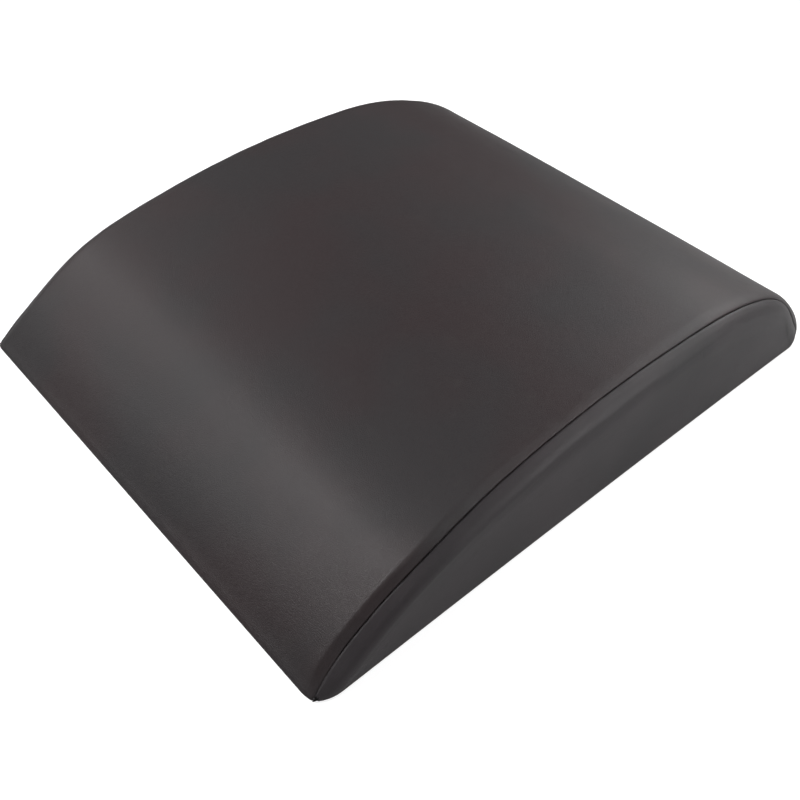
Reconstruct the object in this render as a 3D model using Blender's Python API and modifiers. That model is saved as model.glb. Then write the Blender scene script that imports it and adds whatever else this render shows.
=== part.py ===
# Ab mat: a wedge-arched foam block in a sewn cover with a non-slip base and a zip at its tall end.
# Metres, Z up. X runs from the thin end (-X) to the tall end (+X), Y across, base on Z = 0.
import math
import bmesh
import bpy
import numpy as np
from mathutils import Vector

# driving sizes
mat_length = 0.380
mat_width = 0.300
mat_height = 0.0735
leather = 0.0012            # every cover panel
clearance = 0.0003          # between pieces that only lie against each other

# the cover's outline at mid-width: share of the length from the thin end, share of the height,
# and the angle in degrees at which the side seam lies on the rounded edge (0 on top, 90 on the side)
outline_shares = [
    (1.000, 0.015, 58), (0.999, 0.127, 55), (0.989, 0.243, 48), (0.960, 0.415, 36), (0.920, 0.589, 30),
    (0.867, 0.751, 27), (0.814, 0.857, 27), (0.734, 0.961, 29), (0.615, 1.000, 28), (0.495, 0.981, 25),
    (0.363, 0.905, 24), (0.243, 0.788, 27), (0.150, 0.633, 33), (0.097, 0.465, 42), (0.044, 0.259, 55),
    (0.020, 0.141, 70), (0.005, 0.066, 80), (0.000, 0.035, 85), (0.000, 0.015, 87)]
roll_thin = 0.0130          # radius of the long top edges at the thin end
roll_tall = 0.0148          # and at the tall end
crown_rise = 0.0008         # the top bulges this much at mid-width
side_draw = 0.0008          # the sides pull in this much between the corners
foot_roll = 0.0024          # the panels turn under with this radius
foot_lip = 0.0015           # and end this far in, flat on the floor
foot_steps = 3

seam_dip = 0.0006           # the panels sink into the side seam
seam_dip_width = 0.0020
band_rise = 0.0003          # the side panel stands up over its folded seam allowance
band_width = 0.0065
band_fade = 0.0020

top_rows = 31
side_first = 0.2            # of an outline step: the least room between two of the side panel's columns
side_tip = 0.0012           # height of its thin end over the foot's roll
side_drop_shares = (0.0, 0.15, 0.40, 0.55)   # of a column's height, where it is too short for the band
side_rest_share = 0.5
steepest = 2.5              # seam slope that the band's rows still follow
flattest_share = 0.3
outline_steps = 600         # of the dense copy of the outline that distances are measured on
fade_share = 0.45           # where a column halves the cover past the zip's ends
foam_middle_share = 0.45
halvings = 40               # of the search for where a column passes a height

# foam and base
base_thickness = 0.0012
base_gap = 0.0006           # round its edge, inside the turned-under panels
base_side_parts = 8
foam_gap = 0.0006           # foam to the inside of the top panel
foam_roll_extra = 0.0040    # the block's long edges are cut rounder than the cover's

# zip, drawn flat: along its length, up across it, out from the tape's face
zip_height = 0.011          # its middle line above the base
zip_end_room = 0.0475       # from the middle of each end stop to the mat's side
zip_tilt = math.radians(19)   # it leans back with the tall end's wall
zip_flat = 0.0035           # there the cover is pulled in flat, this far inside the overall length
zip_flat_reach = 0.007      # past the end stops before the corners swell out again
slot_height = 0.010
slot_reach = 0.002          # past the end stops
slot_ramp = 0.003
tape_thickness = 0.0005
tape_width = 0.0064
tape_reach = 0.008
chain_pitch = 0.0016
tooth_width = 0.0005
tooth_thickness = 0.0016
tooth_overlap = 0.0006      # past the middle line
core_half = 0.0009          # half the width of the slider's wedge
spine_width = 0.0007
tape_lift = 0.0002          # the rows stand this far off the tape
slider_length = 0.011
slider_plate = 0.0008
slider_wall = 0.0006
wedge_tip_share = 0.45      # from the slider's rear end
wedge_wide_share = 0.68
wedge_end_share = 0.91
spread_start_share = 0.05
bridge_length = 0.0052
bridge_width = 0.0016
bridge_bar = 0.0006
bridge_foot = 0.0009
bridge_room = 0.0012        # height under it
pull_length = 0.022
pull_thickness = 0.0007
pull_bar = 0.0007
pull_arm = 0.0007
pull_arm_gap = 0.00035
pull_window = 0.0039
pull_width = 0.0056
stop_length = 0.002
end_box_length = 0.003
stop_wall = 0.0003
stop_reach = 0.0024
stop_web = 0.00055
cut_overrun = 0.001
join_overlap = 0.0001

zip_length = mat_width - 2 * zip_end_room
lean_out = math.cos(zip_tilt)
lean_up = math.sin(zip_tilt)
flat_x = mat_length / 2 - zip_flat
tape_x = flat_x - (leather + clearance) * lean_out
tape_z = zip_height - (leather + clearance) * lean_up
tape_edge = core_half + clearance
row_low = tape_lift
row_high = tape_lift + tooth_thickness
back_high = -tape_thickness - clearance
back_low = back_high - slider_plate
front_low = row_high + clearance
front_high = front_low + slider_plate
spine_low = tape_edge
spine_high = tape_edge + spine_width
spread = core_half + clearance + tooth_overlap
slider_rest = zip_length / 2 - stop_length / 2 - clearance - slider_length / 2
slider_open = -zip_length / 2 + end_box_length / 2 + clearance + slider_length / 2
slider_travel = slider_rest - slider_open
pull_axis = front_high + bridge_room / 2


def along(share):
    return slider_rest + (share - 0.5) * slider_length


spread_start = along(spread_start_share)
spread_end = along(wedge_wide_share)


def rowOffset(x):
    share = (x - spread_start) / (spread_end - spread_start)
    return spread * min(max(share, 0.0), 1.0)


# scene, collections, materials
for old in list(bpy.data.objects):
    bpy.data.objects.remove(old)
part = bpy.data.collections.new("ab_mat")
cutters = bpy.data.collections.new("cutters")
bpy.context.scene.collection.children.link(part)
bpy.context.scene.collection.children.link(cutters)


def material(name, color, roughness, metallic=0.0):
    made = bpy.data.materials.new(name)
    made.use_nodes = True
    shader = made.node_tree.nodes["Principled BSDF"]
    shader.inputs["Base Color"].default_value = (*color, 1.0)
    shader.inputs["Roughness"].default_value = roughness
    shader.inputs["Metallic"].default_value = metallic
    return made


def meshObject(name, points, faces, made=None, smooth=True):
    mesh = bpy.data.meshes.new(name)
    mesh.from_pydata([tuple(float(v) for v in p) for p in points], [], faces)
    work = bmesh.new()
    work.from_mesh(mesh)
    bmesh.ops.recalc_face_normals(work, faces=work.faces)
    work.to_mesh(mesh)
    work.free()
    for face in mesh.polygons:
        face.use_smooth = smooth
    made_object = bpy.data.objects.new(name, mesh)
    if made is None:
        cutters.objects.link(made_object)
        made_object.hide_render = True
        made_object.display_type = "WIRE"
    else:
        mesh.materials.append(made)
        part.objects.link(made_object)
    return made_object


def prism(name, outline, low, high, plane, made=None):
    # a straight prism: plane names where the outline's two directions and the height go
    order = {"flat": (0, 1, 2), "side": (0, 2, 1), "end": (2, 0, 1)}[plane]
    points = []
    for height in (low, high):
        for u, v in outline:
            triple = (u, v, height)
            points.append(tuple(triple[i] for i in order))
    n = len(outline)
    faces = [tuple(range(n)), tuple(range(2 * n - 1, n - 1, -1))]
    for i in range(n):
        j = (i + 1) % n
        faces.append((i, n + i, n + j, j))
    return meshObject(name, points, faces, made, smooth=False)


def sheet(name, grid, made, outward):
    # a panel: its outer skin as a grid of points, thickened inward
    rows, columns = len(grid), len(grid[0])
    points = [p for row in grid for p in row]
    faces = []
    for i in range(rows - 1):
        for j in range(columns - 1):
            a = i * columns + j
            faces.append((a, a + 1, a + columns + 1, a + columns))
    panel = meshObject(name, points, faces, made)
    middle = panel.data.polygons[len(panel.data.polygons) // 2]
    if middle.normal.dot(Vector(outward)) < 0:
        panel.data.flip_normals()
    thick = panel.modifiers.new("leather", "SOLIDIFY")
    thick.thickness = leather
    thick.offset = -1.0
    thick.use_even_offset = True
    return panel


def join(base, other):
    step = base.modifiers.new("join", "BOOLEAN")
    step.operation = "UNION"
    step.solver = "EXACT"
    step.object = other


def cut(base, other):
    step = base.modifiers.new("cut", "BOOLEAN")
    step.operation = "DIFFERENCE"
    step.solver = "EXACT"
    step.object = other


def mirrored(outline):
    return list(outline) + [(u, -v) for u, v in reversed(outline) if v != 0.0]


# the cover's surface
half_length = mat_length / 2
half_width = mat_width / 2
table = np.array([((share - 0.5) * mat_length, high * mat_height, math.radians(angle))
                  for share, high, angle in outline_shares])
steps = np.hypot(*np.diff(table[:, :2], axis=0).T)
knots = np.concatenate([[0.0], np.cumsum(steps)])


def splineSlopes(values):
    # second derivatives of the natural cubic spline through the outline's points
    n = len(knots)
    matrix = np.zeros((n, n))
    right = np.zeros((n, values.shape[1]))
    matrix[0, 0] = matrix[-1, -1] = 1.0
    for i in range(1, n - 1):
        before, after = knots[i] - knots[i - 1], knots[i + 1] - knots[i]
        matrix[i, i - 1:i + 2] = before, 2 * (before + after), after
        right[i] = 6 * ((values[i + 1] - values[i]) / after - (values[i] - values[i - 1]) / before)
    return np.linalg.solve(matrix, right)


bend = splineSlopes(table)


def outlineAt(u):
    # x, z, seam angle and inward normal, where u counts the outline's points from the tall end
    i = min(max(int(u), 0), len(knots) - 2)
    gap = knots[i + 1] - knots[i]
    b = u - i
    a = 1 - b
    point = a * table[i] + b * table[i + 1]
    point = point + ((a ** 3 - a) * bend[i] + (b ** 3 - b) * bend[i + 1]) * gap ** 2 / 6
    slope = (table[i + 1] - table[i]) / gap
    slope = slope + ((3 * b * b - 1) * bend[i + 1] - (3 * a * a - 1) * bend[i]) * gap / 6
    length = math.hypot(slope[0], slope[1])
    return point[0], point[1], point[2], (-slope[1] / length, slope[0] / length)


last = len(knots) - 1


def rollRadius(x):
    return roll_thin + (roll_tall - roll_thin) * (x / mat_length + 0.5)


def smoothStep(value, start, end):
    t = min(max((value - start) / (end - start), 0.0), 1.0)
    return t * t * (3 - 2 * t)


def zipPlane(z):
    return flat_x - (z - zip_height) * lean_up / lean_out


def soften(x, y, z):
    # the sides pull in between the corners, and the tall end's wall lies flat round the zip
    y = y * (1 - side_draw / half_width * max(1 - (x / (half_length - roll_tall)) ** 2, 0.0))
    hold = 1 - smoothStep(abs(y), zip_length / 2 + zip_flat_reach, half_width - roll_tall)
    return Vector((x + (min(x, zipPlane(z)) - x) * hold, y, z))


def crownDrop(inward):
    # how far the rolled edges lie below the crown: all of it on top, none on upright walls
    return crown_rise * inward[1] ** 2


def skin(u, y=0.0, angle=None, side=1, sink=0.0):
    # outer surface point and its level outward direction: on the top at y, or with an angle on
    # the rolled edge of that side
    x, z, seam, inward = outlineAt(u)
    roll = rollRadius(x)
    if angle is None:
        depth = crownDrop(inward) * (y / (half_width - roll)) ** 2 + sink
        out = Vector((-inward[0], 0.0, 0.0))
    else:
        depth = crownDrop(inward) + roll - (roll - sink) * math.cos(angle)
        y = side * (half_width - roll + (roll - sink) * math.sin(angle))
        out = Vector((-inward[0] * math.cos(angle), side * math.sin(angle), 0.0))
    return soften(x + inward[0] * depth, y, z + inward[1] * depth), out.normalized()


def crossing(column, height, low, high):
    # where a column of the surface passes a height, between two places on the outline
    start = column(low)[0].z - height
    for _ in range(halvings):
        middle = (low + high) / 2
        if (column(middle)[0].z - height) * start > 0:
            low = middle
        else:
            high = middle
    return (low + high) / 2


def foot(point, out):
    # the rows below a point at the height of the foot's roll: round, then flat on the floor
    rows = []
    for i in range(1, foot_steps + 1):
        turn = math.pi / 2 * i / foot_steps
        level = point - out * (foot_roll * (1 - math.cos(turn)))
        rows.append(Vector((level.x, level.y, foot_roll * (1 - math.sin(turn)))))
    rows.append(rows[-1] - out * foot_lip)
    return rows


peak = max(range(len(table)), key=lambda i: table[i, 1])
slot_half = zip_length / 2 + slot_reach
slot_end = slot_half + slot_ramp
mid_places = [0.0, slot_half, slot_end, slot_end + (half_width - roll_tall - slot_end) * fade_share]
mid_places = [-y for y in reversed(mid_places[1:])] + mid_places


def seamAngle(u, dip=0.0):
    # the angle at which the top panel ends, less a width along the surface
    x, _, seam, _ = outlineAt(u)
    return seam - (clearance / 2 + dip) / rollRadius(x)


def topColumns():
    # the columns of the top panel and the rear strip, from one side seam to the other
    def edge(side, share):
        if share is None:
            return lambda u: skin(u, angle=seamAngle(u), side=side, sink=seam_dip)
        return lambda u: skin(u, angle=seamAngle(u, seam_dip_width) * share, side=side)
    edge_shares = (0.0, 1 / 3, 2 / 3, 1.0, None)
    columns = [(None, edge(-1, share)) for share in reversed(edge_shares)]
    columns += [(y, lambda u, y=y: skin(u, y=y)) for y in mid_places]
    columns += [(None, edge(1, share)) for share in edge_shares]
    return columns


tape_top = zip_height + (tape_edge + tape_width + clearance) * lean_out


def slotEdge(y, sign):
    # height of the panel edges beside the zip; past its ends the two edges meet
    if y is not None and abs(y) <= slot_half:
        return zip_height + sign * slot_height / 2 * lean_out
    return zip_height + sign * clearance / 2


# cover panels
leather_top = material("leather_top", (0.045, 0.042, 0.042), 0.45)
leather_right = material("leather_side_right", (0.055, 0.053, 0.053), 0.45)
leather_left = material("leather_side_left", (0.055, 0.053, 0.053), 0.45)
leather_rear = material("leather_rear", (0.050, 0.047, 0.047), 0.45)

top_grid = []
strip_grid = []
for y, column in topColumns():
    start = crossing(column, slotEdge(y, 1), 0.0, peak)
    end = crossing(column, foot_roll, peak, last)
    over_tape = crossing(column, tape_top, 0.0, peak)
    places = [over_tape + (end - over_tape) * i / (top_rows - 2) for i in range(top_rows - 1)]
    seam_places = [start] + places
    line = [column(u)[0] for u in seam_places]
    top_grid.append(line + foot(*column(end)))
    low = crossing(column, foot_roll, 0.0, peak) if column(0.0)[0].z < foot_roll else 0.0
    high = crossing(column, slotEdge(y, -1), 0.0, peak)
    line = [column(high + (low - high) * i / 3)[0] for i in range(4)]
    bottom, out = column(low)
    bottom.z = foot_roll
    line[-1] = bottom
    strip_grid.append(line + foot(bottom, out))
top_panel = sheet("cover_top_panel", top_grid, leather_top, (0, 0, 1))
rear_strip = sheet("cover_rear_strip", strip_grid, leather_rear, (1, 0, 0))

# the side panel is drawn over its own side view: for each x and z, how deep inside the outline
dense = [outlineAt(last * i / outline_steps) for i in range(outline_steps + 1)]
dense_x = np.array([p[0] for p in dense])
dense_z = np.array([p[1] for p in dense])


def seamPoint(u, shift=0.0):
    x, z, seam, inward = outlineAt(u)
    roll = rollRadius(x)
    depth = crownDrop(inward) + roll * (1 - math.cos(seam + (clearance / 2 + shift) / roll))
    return x + inward[0] * depth, z + inward[1] * depth


seam_line = np.array([seamPoint(last * i / outline_steps) for i in range(outline_steps + 1)])


def sidePoint(x, z):
    # the side's outer surface over a place in its side view, risen or sunk near the seam
    nearest = int(np.argmin((dense_x - x) ** 2 + (dense_z - z) ** 2))
    px, pz, _, inward = dense[nearest]
    roll = rollRadius(px)
    depth = max((x - px) * inward[0] + (z - pz) * inward[1] - crownDrop(inward), 0.0)
    angle = math.acos(max(1 - depth / roll, 0.0))
    normal = (-inward[0] * math.cos(angle), math.sin(angle), -inward[1] * math.cos(angle))
    seam_gap = float(np.sqrt(((seam_line - (x, z)) ** 2).sum(axis=1)).min())
    seam_gap = seam_gap / max(math.sin(angle), flattest_share)
    if seam_gap < seam_dip_width:
        lift = -seam_dip + (seam_dip + band_rise) * seam_gap / seam_dip_width
    else:
        lift = band_rise * (1 - min(max((seam_gap - band_width) / band_fade, 0.0), 1.0))
    lift = min(lift, lift * math.cos(angle))
    y = half_width - roll + roll * math.sin(angle)
    point = soften(x + normal[0] * lift, y + normal[1] * lift, z + normal[2] * lift)
    return point, Vector((normal[0], normal[1], 0.0)).normalized()


tip = int(np.argmax(seam_line[:, 0] * (seam_line[:, 1] >= foot_roll)))
rising = seam_line[:tip + 1]
tip_place = last * tip / outline_steps
thin_place = crossing(lambda u: (Vector((0.0, 0.0, seamPoint(u)[1])), None), foot_roll + side_tip, peak, last)
# its columns keep to the rows of the top panel's last column, which runs along the same seam
side_places = [u for u in seam_places if tip_place + side_first < u < thin_place - side_first]
side_places = [tip_place] + side_places + [thin_place]
side_grid = []
for i, u in enumerate(side_places):
    x, top = seamPoint(u)
    near, far = seamPoint(u - side_first), seamPoint(u + side_first)
    slope = abs(far[1] - near[1]) / max(abs(far[0] - near[0]), clearance)
    steep = math.hypot(1, min(slope, steepest))
    step = top - foot_roll
    widths = (0.0, seam_dip_width, band_width, band_width + band_fade)
    drops = [min(width * steep, step * part_share) for width, part_share in zip(widths, side_drop_shares)]
    levels = [top - drop for drop in drops]
    levels += [levels[-1] + (foot_roll - levels[-1]) * side_rest_share, foot_roll]
    # under its foremost place the seam runs back a little, and the first column follows it
    places = [x if i else float(np.interp(z, rising[:, 1], rising[:, 0])) for z in levels]
    line = [sidePoint(x, z)[0] for x, z in zip(places, levels)]
    out = sidePoint(places[-1], foot_roll)[1]
    line[-1].z = foot_roll
    side_grid.append(line + foot(line[-1], out))
left_panel = sheet("cover_side_panel_left", side_grid, leather_left, (0, 1, 0))
right_grid = [[Vector((p.x, -p.y, p.z)) for p in line] for line in side_grid]
right_panel = sheet("cover_side_panel_right", right_grid, leather_right, (0, -1, 0))


# base panel
def baseCorners(inset):
    # the base outline's tall and thin corner on one side, each from the end round to the side
    ends = []
    for low, high in ((0.0, peak), (peak, last)):
        line = []
        for share in base_turn_shares:
            column = lambda u: skin(u, angle=math.pi / 2 * share)
            point, out = column(crossing(column, foot_roll, low, high))
            line.append(point - out * inset)
        ends.append(line)
    return ends


rubber_base = material("grip_base", (0.030, 0.030, 0.032), 0.85)
base_turn_shares = (0.0, 0.25, 0.5, 0.75, 1.0)
foot_inset = foot_roll + foot_lip + base_gap
tall_corner, thin_corner = baseCorners(foot_inset)
foot_x = min(zipPlane(foot_roll), half_length)
quarter = [(foot_x - foot_inset, y) for y in (0.0, zip_length / 2 + zip_flat_reach)]
quarter += [(p.x, p.y) for p in tall_corner]
for i in range(1, base_side_parts):
    x = tall_corner[-1].x + (thin_corner[-1].x - tall_corner[-1].x) * i / base_side_parts
    quarter.append((x, soften(x, half_width, 0.0).y - foot_inset))
quarter += [(p.x, p.y) for p in reversed(thin_corner)]
quarter += [(thin_corner[0].x, 0.0)]
base_panel = prism("cover_base_panel", mirrored(quarter), 0.0, base_thickness, "flat", rubber_base)

# foam core
foam = material("foam", (0.55, 0.55, 0.52), 0.95)
foam_depth = leather + foam_gap
foam_bottom = base_thickness + clearance
foam_side = side_draw + foot_roll + clearance
foam_tall = half_length - foot_roll - foot_lip
foam_thin = -half_length + foot_roll + clearance
foam_columns = [(y, 0.0) for y in (0.0, foam_middle_share * slot_half, slot_half)]
foam_columns += [(None, angle) for angle in (0.0, 0.2, 0.4, 0.6, 0.8, 1.0)]


def foamPoint(u, y, share):
    x, z, _, inward = outlineAt(u)
    roll = rollRadius(x) + foam_roll_extra
    depth = crownDrop(inward) + foam_depth
    if y is None:
        turn = math.pi / 2 * share
        depth += roll * (1 - math.cos(turn))
        y = half_width - foam_side - roll + roll * math.sin(turn)
    else:
        roll = rollRadius(x)
        depth += crownDrop(inward) * ((y / (half_width - roll)) ** 2 - 1)
    x, z = x + inward[0] * depth, z + inward[1] * depth
    behind_zip = tape_x + (back_low - clearance - (z - tape_z) * lean_up) / lean_out
    return Vector((min(max(x, foam_thin), foam_tall, behind_zip), y, z))


foam_rings = []
for y, share in foam_columns:
    ring = []
    column = lambda u: (foamPoint(u, y, share), None)
    start = crossing(column, foam_bottom, 0.0, peak) if column(0.0)[0].z < foam_bottom else 0.0
    end = crossing(column, foam_bottom, peak, last)
    for i in range(top_rows):
        point = column(start + (end - start) * i / (top_rows - 1))[0]
        ring.append(point)
    ring[0].z = foam_bottom
    ring[-1].z = foam_bottom
    foam_rings.append(ring)
foam_rings = [[Vector((p.x, -p.y, p.z)) for p in ring] for ring in reversed(foam_rings[1:])] + foam_rings
n = top_rows
foam_faces = [tuple(range(n)), tuple((len(foam_rings) - 1) * n + i for i in reversed(range(n)))]
for r in range(len(foam_rings) - 1):
    for i in range(n):
        j = (i + 1) % n
        foam_faces.append((r * n + i, (r + 1) * n + i, (r + 1) * n + j, r * n + j))
foam_core = meshObject("foam_core", [p for ring in foam_rings for p in ring], foam_faces, foam)

# zip
tape_cloth = material("zip_tape", (0.020, 0.020, 0.022), 0.85)
tape_cloth_low = material("zip_tape_low", (0.020, 0.020, 0.022), 0.85)
tooth_plastic = material("zip_teeth", (0.018, 0.018, 0.020), 0.40)
tooth_plastic_low = material("zip_teeth_low", (0.018, 0.018, 0.020), 0.40)
slider_metal = material("slider_metal", (0.12, 0.12, 0.13), 0.35, 1.0)
pull_metal = material("pull_metal", (0.12, 0.12, 0.13), 0.35, 1.0)
stop_metal = material("stop_metal", (0.30, 0.30, 0.32), 0.40, 1.0)
stop_metal_low = material("stop_metal_low", (0.30, 0.30, 0.32), 0.40, 1.0)
end_metal = material("end_metal", (0.30, 0.30, 0.32), 0.40, 1.0)


def stand(made, x=0.0, y=0.0, z=0.0):
    # stand a flat-drawn zip piece up on the tape's face: x along, y up, z out
    made.location = (tape_x + z * lean_out - y * lean_up, x, tape_z + z * lean_up + y * lean_out)
    made.rotation_euler = (math.pi / 2 - zip_tilt, 0.0, math.pi / 2)
    return made


half_tape = zip_length / 2 + tape_reach
for name, sign, cloth in (("zip_tape_upper", 1, tape_cloth), ("zip_tape_lower", -1, tape_cloth_low)):
    edges = sorted((sign * tape_edge, sign * (tape_edge + tape_width)))
    outline = [(-half_tape, edges[0]), (half_tape, edges[0]), (half_tape, edges[1]), (-half_tape, edges[1])]
    stand(prism(name, outline, -tape_thickness, 0.0, "flat", cloth))

chain_start = -zip_length / 2 + end_box_length / 2 + clearance
chain_end = zip_length / 2 - stop_length / 2 - clearance


def toothedRow(name, sign, shift, plastic):
    # one row of the chain: a spine along the tape's edge and teeth that pass the middle line
    outline = [(x, spine_high + rowOffset(x)) for x in (chain_end, spread_end, spread_start, chain_start)]
    outline.append((chain_start, spine_low))
    x = chain_start + tooth_width + shift
    while x + tooth_width < chain_end:
        lift = rowOffset(x)
        for side, reach in ((-1, spine_low), (-1, -tooth_overlap), (1, -tooth_overlap), (1, spine_low)):
            outline.append((x + side * tooth_width / 2, reach + lift))
        x += chain_pitch
    outline.append((chain_end, spine_low + rowOffset(chain_end)))
    outline = [(u, v * sign) for u, v in outline]
    return stand(prism(name, outline, row_low, row_high, "flat", plastic))


toothedRow("zip_teeth_upper", 1, 0.0, tooth_plastic)
toothedRow("zip_teeth_lower", -1, chain_pitch / 2, tooth_plastic_low)

# slider: two plates, the wedge between them, the front plate's side walls and a bridge for the pull
wall_inner = spine_high + clearance
half_slider = slider_length / 2


def wallAt(x, extra=0.0):
    return wall_inner + rowOffset(slider_rest + x) + extra


rear_x, front_x = -half_slider, half_slider
wide_x = spread_end - slider_rest
wedge_tip = (wedge_tip_share - 0.5) * slider_length
wedge_end = (wedge_end_share - 0.5) * slider_length
plate_half = [(rear_x, 0.0), (rear_x, wallAt(rear_x)), (rear_x + slider_wall, wallAt(rear_x, slider_wall)),
              (wide_x, wallAt(wide_x, slider_wall)), (wedge_end, wallAt(wedge_end, slider_wall)),
              (front_x - slider_wall, wallAt(front_x)), (front_x, core_half), (front_x, 0.0)]
slider = prism("zip_slider", mirrored(plate_half), front_low, front_high, "flat", slider_metal)
back_plate = prism("slider_back", mirrored(plate_half), back_low, back_high, "flat")
wedge_half = [(wedge_tip, 0.0), (wide_x, core_half), (wedge_end, core_half), (front_x - slider_wall, 0.0)]
wedge = prism("slider_wedge", mirrored(wedge_half), back_high - join_overlap, front_low + join_overlap, "flat")
extras = [wedge, back_plate]
for sign in (1, -1):
    wall = [(rear_x + slider_wall, wallAt(rear_x + slider_wall)), (wide_x, wallAt(wide_x)),
            (wedge_end, wallAt(wedge_end)), (wedge_end, wallAt(wedge_end, slider_wall - join_overlap)),
            (wide_x, wallAt(wide_x, slider_wall - join_overlap)),
            (rear_x + slider_wall, wallAt(rear_x, slider_wall - join_overlap))]
    wall = [(u, v * sign) for u, v in wall]
    extras.append(prism(f"slider_wall_{sign}", wall, clearance, front_low + join_overlap, "flat"))
bridge_top = front_high + bridge_room + bridge_bar
bridge_half = [(-bridge_length / 2, front_high - join_overlap), (-bridge_length / 2, bridge_top - bridge_bar),
               (-bridge_length / 2 + bridge_bar, bridge_top)]
bridge_inner = bridge_length / 2 - bridge_foot
bridge = bridge_half + [(-u, v) for u, v in reversed(bridge_half)]
bridge += [(bridge_inner, front_high - join_overlap), (bridge_inner, bridge_top - bridge_bar),
           (-bridge_inner, bridge_top - bridge_bar), (-bridge_inner, front_high - join_overlap)]
extras.append(prism("slider_bridge", bridge, -bridge_width / 2, bridge_width / 2, "side"))
for extra in extras:
    join(slider, extra)
    extra.parent = slider
stand(slider, slider_rest)

# pull tab, its axis on its own origin
loop_inner = bridge_width / 2 + pull_arm_gap
loop_outer = loop_inner + pull_arm
pull_half = [(pull_bar / 2, 0.0), (pull_bar / 2, loop_outer - pull_arm / 2), (0.0, loop_outer),
             (-pull_window, loop_outer), (-pull_window - pull_arm, pull_width / 2),
             (-pull_length + pull_width / 3, pull_width / 2), (-pull_length + pull_width / 8, pull_width / 3),
             (-pull_length, pull_width / 6), (-pull_length, 0.0)]
pull = prism("zip_pull_tab", mirrored(pull_half), -pull_thickness / 2, pull_thickness / 2, "flat", pull_metal)
window = [(-pull_window, -loop_inner), (-pull_bar / 2, -loop_inner), (-pull_bar / 2, loop_inner),
          (-pull_window, loop_inner)]
window = prism("pull_window", window, -cut_overrun, cut_overrun, "flat")
cut(pull, window)
window.parent = pull
stand(pull, slider_rest, 0.0, pull_axis)

# end stops: a clip on each tape at the closed end, one across both at the other
slot_low = -tape_thickness - clearance
slot_high = clearance
stop_low = slot_low - stop_wall
stop_high = front_low + stop_wall
stop_inner = tape_edge - clearance
for name, sign, metal in (("zip_top_stop_upper", 1, stop_metal), ("zip_top_stop_lower", -1, stop_metal_low)):
    clip = [(stop_inner - stop_web, stop_low), (stop_inner + stop_reach, stop_low),
            (stop_inner + stop_reach, slot_low), (stop_inner, slot_low), (stop_inner, slot_high),
            (stop_inner + stop_reach, slot_high), (stop_inner + stop_reach, stop_high),
            (stop_inner - stop_web, stop_high)]
    clip = [(u * sign, v) for u, v in clip]
    stand(prism(name, clip, -stop_length / 2, stop_length / 2, "end", metal), zip_length / 2)
clip_half = [(0.0, stop_low), (stop_reach, stop_low), (stop_reach, slot_low), (stop_inner, slot_low),
             (stop_inner, slot_high), (stop_reach, slot_high), (stop_reach, stop_high), (0.0, stop_high)]
clip = clip_half + [(-u, v) for u, v in reversed(clip_half[1:-1])]
stand(prism("zip_bottom_stop", clip, -end_box_length / 2, end_box_length / 2, "end", end_metal), -zip_length / 2)
print("slide", round(slider_travel, 5), "slider at", [round(v, 5) for v in slider.location],
      "pull axis at", [round(v, 5) for v in pull.location])
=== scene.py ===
import math
import bmesh
import bpy
import numpy as np
from mathutils import Matrix, Vector, noise


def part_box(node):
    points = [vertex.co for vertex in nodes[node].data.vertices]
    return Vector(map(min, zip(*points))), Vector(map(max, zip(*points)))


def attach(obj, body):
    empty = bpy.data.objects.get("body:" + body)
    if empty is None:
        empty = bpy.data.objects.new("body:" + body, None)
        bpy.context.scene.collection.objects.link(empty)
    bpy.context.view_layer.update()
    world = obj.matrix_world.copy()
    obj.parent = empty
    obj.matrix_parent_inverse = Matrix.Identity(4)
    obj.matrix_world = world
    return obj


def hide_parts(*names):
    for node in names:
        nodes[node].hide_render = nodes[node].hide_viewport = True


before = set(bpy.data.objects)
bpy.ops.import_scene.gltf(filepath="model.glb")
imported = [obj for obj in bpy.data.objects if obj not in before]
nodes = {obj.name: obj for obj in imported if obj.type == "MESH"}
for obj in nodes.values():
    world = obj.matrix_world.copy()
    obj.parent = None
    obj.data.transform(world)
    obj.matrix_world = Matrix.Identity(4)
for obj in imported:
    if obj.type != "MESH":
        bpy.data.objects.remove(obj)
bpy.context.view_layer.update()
print("frame loaded:", len(nodes), "nodes")

tiny = 1e-12     # keeps a normal of no length from being divided by nothing

# camera, as in the photograph
shot = {"azimuth": -134.58, "elevation": 44.407, "roll": 3.907, "distance": 0.52979,
        "target": (-0.0386, -0.03275, 0.0), "lens": 42.503, "sensor": 36.0, "clipStart": 0.01}


def placeCamera():
    azimuth, elevation, roll = (math.radians(shot[key]) for key in ("azimuth", "elevation", "roll"))
    back = Vector((math.cos(elevation) * math.cos(azimuth), math.cos(elevation) * math.sin(azimuth),
                   math.sin(elevation)))
    level = (-back).cross(Vector((0, 0, 1))).normalized()
    upward = level.cross(-back)
    right = level * math.cos(roll) + upward * math.sin(roll)
    top = upward * math.cos(roll) - level * math.sin(roll)
    place = Matrix((right, top, back)).transposed().to_4x4()
    place.translation = Vector(shot["target"]) + back * shot["distance"]
    camera = bpy.data.objects.new("camera", bpy.data.cameras.new("camera"))
    camera.data.lens = shot["lens"]
    camera.data.sensor_width = shot["sensor"]
    camera.data.clip_start = shot["clipStart"]
    camera.matrix_world = place
    bpy.context.scene.collection.objects.link(camera)
    bpy.context.scene.camera = camera


placeCamera()


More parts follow.
